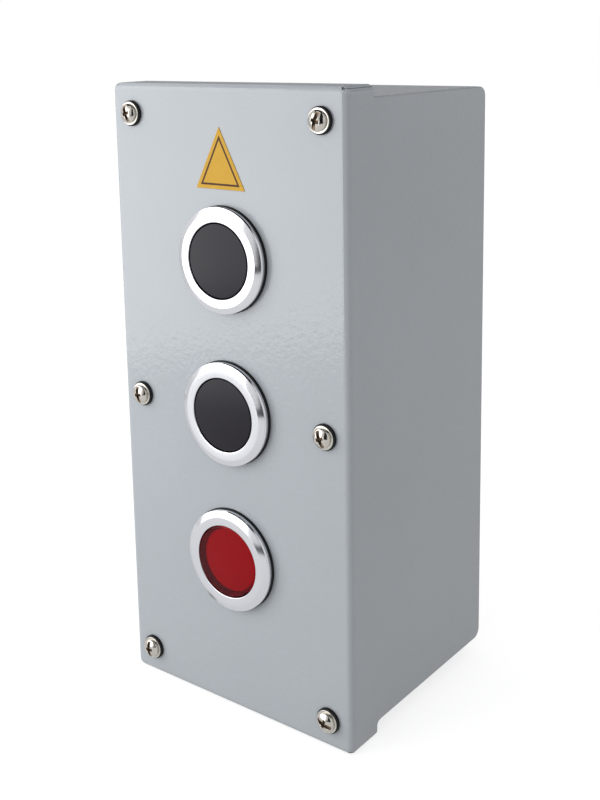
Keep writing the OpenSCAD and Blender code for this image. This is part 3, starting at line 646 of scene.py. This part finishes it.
class STATION_OT_cover(bpy.types.Operator):
    """Build the folded front cover with its bends, seams and holes"""

    bl_idname = "station.cover"
    bl_label = "Front cover"

    def execute(self, context):
        settings = context.scene.station_cover
        sheet, corner = settings.sheet, settings.corner
        low, high = COVER_LOW, COVER_HIGH
        flange_end = FRONT_Y + 12
        beyond, open_rear, through = 1, 5, 6
        notch_corner, rear_corner = 1.2, 2.8
        button_hole, screw_hole = 12.5, 1.8
        made = make_object("cover_shell", bent_block("cover_shell", low, high, settings.bend, corner=corner))
        side = [
            (low.y - beyond, low.z - beyond),
            (flange_end, low.z - beyond),
            (flange_end, BASE_LOW.z, notch_corner),
            (high.y, BASE_LOW.z, rear_corner),
            (high.y, BASE_HIGH.z, rear_corner),
            (flange_end, BASE_HIGH.z),
            (flange_end, high.z + beyond),
            (low.y - beyond, high.z + beyond),
        ]
        profile = prism_mesh("side_profile", rounded_profile(side, 8), low.x - beyond, high.x + beyond)
        inner_low = (low.x + sheet, low.y + sheet, low.z + sheet)
        inner_high = (high.x - sheet, high.y + open_rear, high.z - sheet)
        hollow = bent_block("hollow", inner_low, inner_high, settings.bend - sheet, corner=corner - sheet)
        holes = bmesh.new()
        for x, z in BUTTON_PLACES.values():
            rod(holes, (x, FRONT_Y, z), "y", button_hole, through, 96)
        for x, z in screw_places():
            rod(holes, (x, FRONT_Y, z), "y", screw_hole, through)
        seams, reliefs = self.seams(sheet, flange_end)
        cut(made, [hollow, mesh_from(holes, "holes"), seams, reliefs], within=profile)

        def round_rim(edge):
            """Behind the flanges, the cut rim of the sides carries more paint than the other edges."""
            outside = all(abs(v.co.x) > (high.x - MERGE_GAP) * MM for v in edge.verts)
            behind = [v.co.y / MM - flange_end for v in edge.verts]
            return WIDEST if outside and min(behind) > -0.1 and max(behind) > 2 else 1

        soften_edges(made, settings.edge, wider=round_rim)
        finish_piece(made, "station", "front_cover", "grey_paint", paint())
        return {"FINISHED"}

    def seams(self, sheet, flange_end):
        """Slits where the flanges meet the sides, and the round reliefs that they end in."""
        start, drop, width = 0.7, 0.64, 0.07
        relief_radius, relief_length = 0.35, 3.4
        past = sheet + 0.5
        slits, reliefs = bmesh.new(), bmesh.new()
        for x in (COVER_LOW.x, COVER_HIGH.x):
            for edge_z, inward in ((COVER_LOW.z, 1), (COVER_HIGH.z, -1)):
                near = edge_z + inward * drop
                far = near + inward * width
                slit_low = (x - past, FRONT_Y + start, min(near, far))
                block(slits, slit_low, (x + past, flange_end + 1, max(near, far)))
                middle = (x, FRONT_Y + start, (near + far) / 2)
                rod(reliefs, middle, "x", relief_radius, relief_length, 16)
        return mesh_from(slits, "seams"), mesh_from(reliefs, "reliefs")


class STATION_OT_base(bpy.types.Operator):
    """Build the folded base box with its lip and its holes"""

    bl_idname = "station.base"
    bl_label = "Base box"

    def execute(self, context):
        settings = context.scene.station_cover
        sheet, bend = settings.sheet, settings.base_bend
        low, high = BASE_LOW, BASE_HIGH
        lip, outline_corner = 11.5, 0.4
        nut_hole, wall_hole, stud_hole, cable_hole = 2.1, 2.4, 2.0, 9.5
        wall_x, wall_z, through = 25, 70, 4
        shell = bent_block("base_shell", low, high, bend, rear=True, corner=outline_corner)
        made = make_object("base_shell", shell)
        walls = Vector((sheet, sheet, sheet))
        hollow = bent_block("base_hollow", low + walls, high - walls, bend - sheet, rear=True)
        opening = bmesh.new()
        block(opening, (low.x + lip, low.y - 1, low.z + lip), (high.x - lip, low.y + 3, high.z - lip))
        holes = bmesh.new()
        for x, z in screw_places():
            rod(holes, (x, low.y, z), "y", nut_hole, through)
        for x in (-wall_x, wall_x):
            for z in (-wall_z, wall_z):
                rod(holes, (x, 0, z), "y", wall_hole, through)
        stud_x, stud_z = node_centre("earth_stud")
        rod(holes, (stud_x, 0, stud_z), "y", stud_hole, through)
        grommet_low, grommet_high = node_box("cable_grommet")
        rod(holes, (0, (grommet_low.y + grommet_high.y) / 2, low.z), "z", cable_hole, through, 96)
        opening, mitres = mesh_from(opening, "opening"), self.mitres(lip)
        cut(made, [hollow, opening, mitres, mesh_from(holes, "base_holes")])
        soften_edges(made, settings.edge)
        finish_piece(made, "station", "base_box", "grey_paint", paint())
        return {"FINISHED"}

    def mitres(self, lip):
        """Slits across the lip's corners, where its four strips meet."""
        low, high = BASE_LOW, BASE_HIGH
        start, half_width, half_depth = 3.2, 0.2, 1.5
        end = lip * math.sqrt(2) + 1
        slits = bmesh.new()
        corners = ((low.x, low.z), (high.x, low.z), (high.x, high.z), (low.x, high.z))
        for (x, z), turn in zip(corners, (45, 135, 225, 315)):
            bar = block(slits, (start, -half_depth, -half_width), (end, half_depth, half_width))
            across = Matrix.Rotation(-math.radians(turn), 3, "Y")
            bmesh.ops.rotate(slits, cent=(0, 0, 0), matrix=across, verts=bar)
            bmesh.ops.translate(slits, vec=(x, low.y, z), verts=bar)
        return mesh_from(slits, "mitres")


class STATION_OT_marker(bpy.types.Operator):
    """Build the triangular marker with its thin outline"""

    bl_idname = "station.marker"
    bl_label = "Triangular marker"

    def execute(self, context):
        settings = context.scene.station_marker
        low, high = node_box("yellow_marker")
        middle = (low.x + high.x) / 2
        print_round = 0.05

        def triangle(inset):
            """Corners of the triangle moved in by inset: left, right and top."""
            half, height = (high.x - low.x) / 2, high.z - low.z
            slope = math.hypot(half, height) / half
            foot = low.z + inset
            apex = high.z - inset * slope
            reach = half * (apex - foot) / height
            return [(middle - reach, foot), (middle + reach, foot), (middle, apex)]

        # Each level is an outline, its depth, and whether the band from it to the next is the line.
        levels = [
            (triangle(0), high.y, 0),
            (triangle(0), low.y + print_round, 0),
            (triangle(print_round), low.y, 0),
            (triangle(settings.inset), low.y, 1),
            (triangle(settings.inset + settings.line_width), low.y, 0),
        ]
        bm = bmesh.new()
        rings = [[bm.verts.new((x, y, z)) for x, z in corners] for corners, y, _ in levels]
        for band, (_, _, is_line) in zip(skin(bm, rings), levels):
            for face in band:
                face.material_index = is_line
        bm.faces.new(rings[0])
        bm.faces.new(rings[-1])
        made = make_object("marker_plate", mesh_from(bm, "marker_plate"), (-settings.left, 0, settings.up))
        yellow = printed_film("printed_yellow_film", settings.yellow)
        line = printed_film("printed_brown_line", settings.line)
        finish_piece(made, "station", "yellow_marker", "yellow_paint", yellow, line)
        return {"FINISHED"}


class STATION_OT_bezels(bpy.types.Operator):
    """Build the turned bezels and the gaskets under them"""

    bl_idname = "station.bezels"
    bl_label = "Bezels and gaskets"

    def execute(self, context):
        aluminium = turned_aluminium("satin_turned_aluminium", context.scene.station_buttons)
        radius, bore, barrel, guide = 14.4, 10.35, 12.3, 6.3
        front, seat, back = -3.0, -0.8, 14.85
        outline = [
            (bore, front, 0.25),
            (12.7, front, 0.1),
            (radius, -2.3, 0.04),
            (radius, -2.25, 0.02),
            (14.1, -1.95, 0.05),
            (radius, -1.65, 0.04),
            (radius, seat, 0.08),
            (barrel, seat),
            (barrel, back - 0.6),
            (barrel - 0.6, back),
            (bore, back),
            (bore, back - 2),
            (guide, back - 2),
            (guide, back - 4),
            (bore, back - 4),
        ]
        shape = turned_mesh("bezel", outline, 128, 5)
        seal = [(12.35, seat), (14.6, seat, 0.2), (14.6, 0.0, 0.1), (12.35, 0.0)]
        gasket = turned_mesh("gasket", seal, 128)
        for button, (x, z) in BUTTON_PLACES.items():
            place = (x, FRONT_Y, z)
            names = (button + "_turned_bezel", button + "_bezel")
            add_piece(names[0], shape.copy(), place, "station", names[1], "satin_aluminium", aluminium)
            names = (button + "_rubber_ring", button + "_bezel_gasket")
            add_piece(names[0], gasket.copy(), place, "station", names[1], "black_rubber", rubber())
        return {"FINISHED"}


class STATION_OT_caps(bpy.types.Operator):
    """Build the two black caps and the red lens with its diffuser"""

    bl_idname = "station.caps"
    bl_label = "Caps and lens"

    def execute(self, context):
        settings = context.scene.station_buttons
        black = eroded_black_plastic("eroded_black_abs", settings)
        red = red_acrylic("clear_red_acrylic", settings)
        front, back, radius, inner = -2.85, 1.95, 10.05, 9.15

        def cup(name, thickness):
            """A cap or lens whose front is thickness deep, with a skirt."""
            outline = [
                (0, front),
                (radius, front, settings.edge),
                (radius, back, 0.15),
                (inner, back, 0.15),
                (inner, front + thickness),
                (0, front + thickness),
            ]
            return turned_mesh(name, outline, 128, 5)

        for button in ("upper", "middle"):
            x, z = BUTTON_PLACES[button]
            name, body, node = (button + end for end in ("_black_cap", "_button", "_cap"))
            add_piece(name, cup("cap", 3.0), (x, FRONT_Y, z), body, node, "black_cap_plastic", black)
        x, z = BUTTON_PLACES["lower"]
        place, body = (x, FRONT_Y, z), "lower_button"
        add_piece("red_lens", cup("lens", 2.0), place, body, "lower_lens", "red_lens_plastic", red)
        disc = [(0, -0.83), (9.08, -0.83, 0.5), (9.08, 0.15, 0.1), (0, 0.15)]
        disc = turned_mesh("diffuser", disc, 96)
        add_piece("white_diffuser", disc, place, body, "lower_diffuser", "white_plastic", white_plastic())
        return {"FINISHED"}


class STATION_OT_cover_screws(bpy.types.Operator):
    """Build the six cover screws with their steel and rubber washers"""

    bl_idname = "station.cover_screws"
    bl_label = "Cover screws"

    # How far the recess of each screw is turned, in degrees, in the order of screw_places.
    turns = (-5, -73, -10, -22, -18, 18)

    def execute(self, context):
        # The screws' second material is painted shade: a dark colour inside each recess.
        recess = painted_shade_recess("pressed_recess_painted_shade", context.scene.station_fasteners)
        flat = [Matrix.Translation(Vector((x, FRONT_Y, z)) * MM) for x, z in screw_places()]
        turned = [m @ Matrix.Rotation(math.radians(turn), 4, "Y") for m, turn in zip(flat, self.turns)]
        bore, seat, steel_end = 1.55, -1.3, -0.9
        steel = [(bore, seat), (3.25, seat, 0.15), (3.25, steel_end, 0.1), (bore, steel_end)]
        soft = [(bore, steel_end), (RUBBER_RADIUS, steel_end, 0.2), (RUBBER_RADIUS, 0, 0.15), (bore, 0)]
        screws = joined_mesh("cover_screw_set", self.screw(seat), turned)
        steel = joined_mesh("steel_washer_set", turned_mesh("steel_washer", steel, 64), flat)
        soft = joined_mesh("rubber_washer_set", turned_mesh("rubber_washer", soft, 64), flat)
        for mesh, node, slot, materials, angle in (
            (screws, "cover_screws", "nickel_steel", (nickel(), recess), 35),
            (steel, "steel_washers", "nickel_steel", (nickel(),), 32),
            (soft, "rubber_washers", "black_rubber", (rubber(),), 32),
        ):
            add_piece(mesh.name, mesh, (0, 0, 0), "station", node, slot, *materials, angle=angle)
        return {"FINISHED"}

    def screw(self, seat):
        """One screw as a mesh: a low domed head with a slotted cross recess, on a plain shank."""
        top, radius, side = -2.9, 2.7, 0.6
        shank, length, lead, steps = 1.5, 12, 0.4, 10
        dome = seat - side - top
        ball = (radius * radius + dome * dome) / (2 * dome)
        outline = [(0, top)]
        for k in range(1, steps + 1):
            angle = math.asin(radius / ball) * k / steps
            outline.append((ball * math.sin(angle), top + ball * (1 - math.cos(angle))))
        outline += [(radius, seat, 0.1), (shank, seat), (shank, seat + length - lead)]
        outline += [(shank - lead, seat + length), (0, seat + length)]
        head = make_object("screw", turned_mesh("screw", outline, 64))

        def recess(width, length, depth, turn=0, narrower=1, shorter=1):
            """A bar across the head down to depth, whose foot is narrower and shorter by factors."""
            bm = bmesh.new()
            bar = block(bm, (-width / 2, top - 1, -length / 2), (width / 2, top + depth, length / 2))
            for vert in bar:
                if vert.co.y > top:
                    vert.co.x *= narrower
                    vert.co.z *= shorter
            across = Matrix.Rotation(math.radians(turn), 3, "Y")
            bmesh.ops.rotate(bm, cent=(0, 0, 0), matrix=across, verts=bar)
            return mesh_from(bm, "recess")

        cut(head, [recess(1, 4.8, 0.7)] + [recess(1, 3.2, 1.1, turn, 0.6, 0.55) for turn in (0, 90)])
        soften_edges(head, 0.07, 35)
        mesh = head.data
        bpy.data.objects.remove(head)
        # Faces inside the recess, below the dome, get material 1, the painted shade of the recess.
        rim, dome_skin = 0.1, 0.03
        for polygon in mesh.polygons:
            across = math.hypot(polygon.center.x, polygon.center.z) / MM
            if across < radius - rim:
                surface = top + ball - math.sqrt(ball * ball - across * across)
                polygon.material_index = int(surface + dome_skin < polygon.center.y / MM < seat)
        return mesh


class STATION_OT_grommet(bpy.types.Operator):
    """Build the rubber cable grommet in the bottom wall"""

    bl_idname = "station.grommet"
    bl_label = "Cable grommet"

    def execute(self, context):
        low, high = node_box("cable_grommet")
        bore, neck, outside, inside = 5, 9.45, 12.1, 11.5
        outline = [
            (bore, -2.3, 0.5),
            (outside, -2.3, 0.7),
            (outside, -0.1, 0.1),
            (neck, -0.1),
            (neck, 1.3),
            (inside, 1.3, 0.1),
            (inside, 2.6, 0.5),
            (10.2, 3.5, 0.6),
            (bore, 3.5, 0.5),
        ]
        mesh = turned_mesh("grommet", outline)
        mesh.transform(Matrix.Rotation(math.pi / 2, 4, "X"))
        place = ((low.x + high.x) / 2, (low.y + high.y) / 2, BASE_LOW.z)
        add_piece("grommet_ring", mesh, place, "station", "cable_grommet", "black_rubber", rubber())
        return {"FINISHED"}


class STATION_OT_return_springs(bpy.types.Operator):
    """Build the wound return springs from the deforming nodes of the joints, on the joints' parent bodies"""

    bl_idname = "station.return_springs"
    bl_label = "Return springs"

    def execute(self, context):
        for joint in FRAME["record"]["behaviour"]["joints"]:
            node = joint["deforming_nodes"][0]["node"]
            mesh = FRAME["nodes"][node].data.copy()
            mesh.materials.clear()
            name, wire = node.replace("_return", "_wound"), spring_wire()
            made = add_piece(name, mesh, (0, 0, 0), joint["parent"], node, "spring_steel", wire, angle=50)
            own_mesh(made)
        return {"FINISHED"}


class STATION_OT_inner_parts(bpy.types.Operator):
    """Give the parts inside the box their materials"""

    bl_idname = "station.inner_parts"
    bl_label = "Inner parts"

    def execute(self, context):
        finishes = {
            "black_rubber": rubber(),
            "nickel_steel": nickel(),
            "zinc_steel": plain_metal("zinc_plated_steel", "#B4B7BB", 0.26, 0.42, 1.2),
            "spring_steel": spring_wire(),
            "brass": plain_metal("stamped_brass", "#C9A14E", 0.24, 0.4, 0.8),
            "white_plastic": white_plastic(),
            "black_plastic": moulded_plastic("moulded_black_nylon", "#29292C", 0.5),
            "grey_plastic": moulded_plastic("moulded_grey_phenolic", "#5B5E63", 0.42),
            "green_board": moulded_plastic("green_glass_epoxy", "#2F6B43", 0.35, 0.5),
            "lamp_resin": moulded_plastic("clear_epoxy_resin", "#EADAD4", 0.12, 2),
        }
        for entry in FRAME["record"]["subparts"]:
            part = FRAME["nodes"][entry["node"]]
            material = finishes.get(entry["material_slot"])
            if material and not part.hide_render:
                part.data.materials.clear()
                part.data.materials.append(material)
        return {"FINISHED"}


# ---------------------------------------------------------------- stage


def area_light(name, place, target, size, power):
    """A soft rectangular light that faces target and that the camera doesn't see."""
    data = bpy.data.lights.new(name, "AREA")
    data.shape = "RECTANGLE"
    data.size, data.size_y = size
    data.energy = power
    made = bpy.data.objects.new(name, data)
    bpy.context.scene.collection.objects.link(made)
    made.location = place
    made.rotation_euler = (Vector(target) - Vector(place)).to_track_quat("-Z", "Y").to_euler()
    made.visible_camera = False


def rays_that_see_white(tree, in_gloss):
    """1 for rays from the camera and through clear pieces, in_gloss for reflections, 0 for light on things."""
    path = add_node(tree, "ShaderNodeLightPath").outputs
    gloss = add_node(tree, "ShaderNodeMath", {0: path["Is Glossy Ray"], 1: in_gloss}, operation="MULTIPLY")
    seen = add_node(tree, "ShaderNodeMath", {0: path["Is Camera Ray"], 1: gloss.outputs[0]}, operation="ADD")
    clear = {0: seen.outputs[0], 1: path["Is Transmission Ray"]}
    return add_node(tree, "ShaderNodeMath", clear, operation="ADD", use_clamp=True).outputs[0]


class STATION_OT_stage(bpy.types.Operator):
    """Set up the camera, the pale floor and the soft light"""

    bl_idname = "station.stage"
    bl_label = "Stage"

    def execute(self, context):
        settings = context.scene.station_stage
        context.scene.view_settings.view_transform = "Standard"
        self.camera(context, settings)
        self.floor()
        self.world(context, settings)
        key_place, key_target = (-0.2, -0.355, 0.11), (0.566, 0.288, 0.11)
        area_light("key_light", key_place, key_target, (0.38, 0.38), settings.key)
        self.cards()
        return {"FINISHED"}

    def camera(self, context, settings):
        """Camera of the photograph: its place, turn, focal length and the shift of its frame."""
        width, height = 600, 800
        centre_x, centre_y = 288.8, 246.6
        yaw, pitch, roll = settings.yaw, settings.pitch, settings.roll
        forward = Vector((-math.sin(yaw) * math.cos(pitch), math.cos(yaw) * math.cos(pitch), -math.sin(pitch)))
        right = Vector((math.cos(yaw), math.sin(yaw), 0))
        up = right.cross(forward)
        right_rolled = math.cos(roll) * right + math.sin(roll) * up
        up_rolled = -math.sin(roll) * right + math.cos(roll) * up
        data = bpy.data.cameras.new("camera")
        data.lens = settings.focal
        data.sensor_width = 36
        data.clip_start = 0.01
        data.shift_x = (width / 2 - centre_x) / height
        data.shift_y = (centre_y - height / 2) / height
        made = bpy.data.objects.new("camera", data)
        context.scene.collection.objects.link(made)
        turn = Matrix((right_rolled, up_rolled, -forward)).transposed().to_4x4()
        made.matrix_world = Matrix.Translation(Vector(settings.place)) @ turn
        context.scene.camera = made

    def floor(self):
        """A pale floor just under the box, which camera and reflections see as white but for the shadow."""
        half_size, gap = 3000, 0.2
        bm = bmesh.new()
        bmesh.ops.create_grid(bm, x_segments=24, y_segments=24, size=half_size)
        made = make_object("floor", mesh_from(bm, "floor"), (0, 0, COVER_LOW.z - gap))
        material, tree, shader = start_material("matt_paper", Base_Color=linear("#B4B4B4"), Roughness=0.9)
        seen = {0: rays_that_see_white(tree, 0.6), 1: 0.75}
        strength = add_node(tree, "ShaderNodeMath", seen, operation="MULTIPLY").outputs[0]
        white = add_node(tree, "ShaderNodeEmission", {"Color": (1, 1, 1, 1), "Strength": strength})
        both = {0: shader.outputs["BSDF"], 1: white.outputs["Emission"]}
        added = add_node(tree, "ShaderNodeAddShader", both)
        output = next(n for n in tree.nodes if n.type == "OUTPUT_MATERIAL")
        tree.links.new(added.outputs["Shader"], output.inputs["Surface"])
        made.data.materials.append(material)

    def cards(self):
        """Cards that only reflections see: two in front of the box, two behind it and one overhead."""
        thickness = 1
        for name, place, (width, height), colour in (
            ("front_card", (0.15, -0.47, 0.3), (0.18, 0.77), "#1C1C1F"),
            ("low_card", (0.025, -0.47, -0.062), (0.12, 0.05), "#6C6C72"),
            ("rear_card", (-0.5, 0.75, 0.26), (1.1, 0.7), "#C6C7CB"),
            ("upper_card", (0.05, 0.6, 0.5), (1.1, 0.5), "#1C1C1F"),
            ("ceiling_card", (0.1, 0.2, 0.9), (1.8, 1.8), "#1C1C1F"),
        ):
            bm = bmesh.new()
            corner = Vector((width / MM, height / MM, thickness)) / 2
            block(bm, -corner, corner)
            card = make_object(name, mesh_from(bm, name), Vector(place) / MM)
            if name != "ceiling_card":
                aim = Vector((0, -0.04, place[2]))
                card.rotation_euler = (aim - Vector(place)).to_track_quat("-Z", "Y").to_euler()
            for seen_by in ("camera", "diffuse", "shadow", "transmission"):
                setattr(card, "visible_" + seen_by, False)
            material, _, _ = start_material("matt_card", Base_Color=linear(colour), Roughness=1.0)
            card.data.materials.append(material)

    def world(self, context, settings):
        """Even light from all round; the background itself is white."""
        world = bpy.data.worlds.new("studio")
        context.scene.world = world
        world.use_nodes = True
        tree = world.node_tree
        tree.nodes.clear()
        seen = {"Value": rays_that_see_white(tree, 0.62), "To Min": settings.fill, "To Max": 1.0}
        strength = add_node(tree, "ShaderNodeMapRange", seen).outputs["Result"]
        background = {"Color": (1, 1, 1, 1), "Strength": strength}
        background = add_node(tree, "ShaderNodeBackground", background)
        add_node(tree, "ShaderNodeOutputWorld", {"Surface": background.outputs["Background"]})


# ---------------------------------------------------------------- panel and registration


class STATION_PT_pieces(bpy.types.Panel):
    """Lists the pieces of the station"""

    bl_label = "Pushbutton Station"
    bl_space_type = "VIEW_3D"
    bl_region_type = "UI"
    bl_category = "Station"

    def draw(self, context):
        for group, operators in PANEL_ROWS:
            box = self.layout.box()
            settings = getattr(context.scene, group)
            for name in settings.bl_rna.properties.keys():
                if name not in {"rna_type", "name"}:
                    box.prop(settings, name)
            for operator in operators:
                box.operator(operator)


BUTTON_OPERATORS = ("station.bezels", "station.caps", "station.return_springs", "station.inner_parts")
PANEL_ROWS = (
    ("station_stage", ("station.stage",)),
    ("station_cover", ("station.cover", "station.base")),
    ("station_marker", ("station.marker",)),
    ("station_buttons", BUTTON_OPERATORS),
    ("station_fasteners", ("station.cover_screws", "station.grommet")),
)

SETTING_GROUPS = {
    "station_stage": StageSettings,
    "station_cover": CoverSettings,
    "station_marker": MarkerSettings,
    "station_buttons": ButtonSettings,
    "station_fasteners": FastenerSettings,
}

OPERATORS = (
    STATION_OT_stage,
    STATION_OT_cover,
    STATION_OT_base,
    STATION_OT_marker,
    STATION_OT_bezels,
    STATION_OT_caps,
    STATION_OT_cover_screws,
    STATION_OT_grommet,
    STATION_OT_return_springs,
    STATION_OT_inner_parts,
)


def register():
    for group, kind in SETTING_GROUPS.items():
        bpy.utils.register_class(kind)
        setattr(bpy.types.Scene, group, bpy.props.PointerProperty(type=kind))
    for kind in OPERATORS:
        bpy.utils.register_class(kind)
    bpy.utils.register_class(STATION_PT_pieces)


def unregister():
    bpy.utils.unregister_class(STATION_PT_pieces)
    for kind in reversed(OPERATORS):
        bpy.utils.unregister_class(kind)
    for group, kind in reversed(SETTING_GROUPS.items()):
        delattr(bpy.types.Scene, group)
        bpy.utils.unregister_class(kind)


def main():
    """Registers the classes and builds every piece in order."""
    register()
    for kind in OPERATORS:
        group, name = kind.bl_idname.split(".")
        getattr(getattr(bpy.ops, group), name)()


if __name__ == "__main__":
    main()
